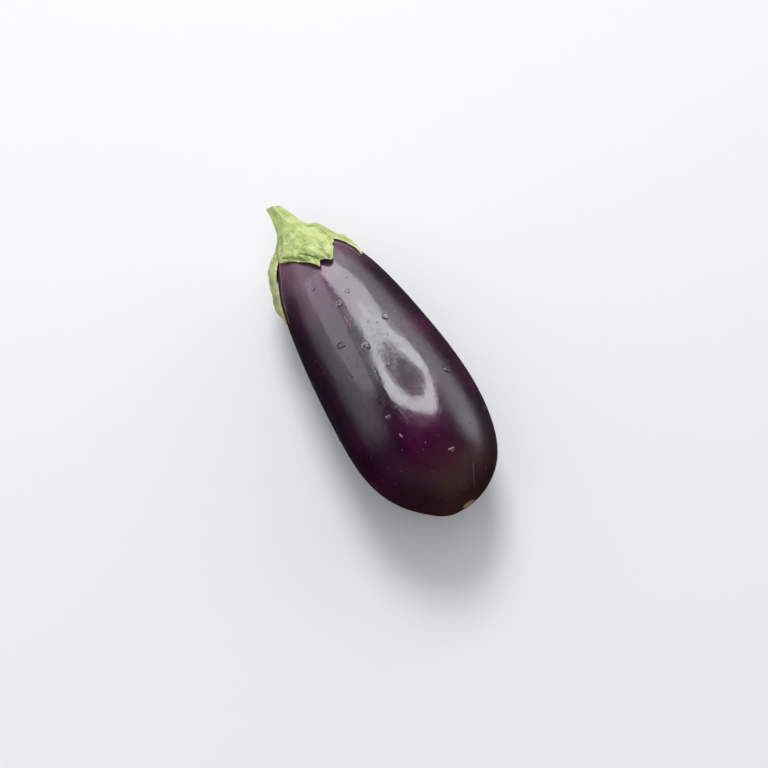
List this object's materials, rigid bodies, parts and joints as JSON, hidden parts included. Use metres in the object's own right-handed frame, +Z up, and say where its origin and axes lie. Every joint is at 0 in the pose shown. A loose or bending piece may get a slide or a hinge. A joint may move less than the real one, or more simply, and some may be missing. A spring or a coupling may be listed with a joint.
{
  "type": "eggplant",
  "caption": "Picked eggplant lying on its side: a glossy pear-shaped fruit with a green five-lobed calyx over its shoulder and a short ridged stem cut off square.",
  "frame": {"origin": "centre of the small flat underneath that the fruit rests on, at the height of the surface it lies on", "axes": "+X along the fruit from the stem to the blossom end, +Z up, +Y to the left when looking from the stem to the blossom end"},
  "size_m": [0.2167, 0.0838, 0.0842],
  "materials": {
    "skin": "waxy, very glossy near-black purple skin",
    "calyx_green": "matt, finely veined yellow-green with pale papery edges",
    "stem_green": "matt, ribbed green with a pale cut end"
  },
  "bodies": {
    "root": {"fruit": "skin", "calyx": "calyx_green", "stem": "stem_green"}
  },
  "joints": []
}
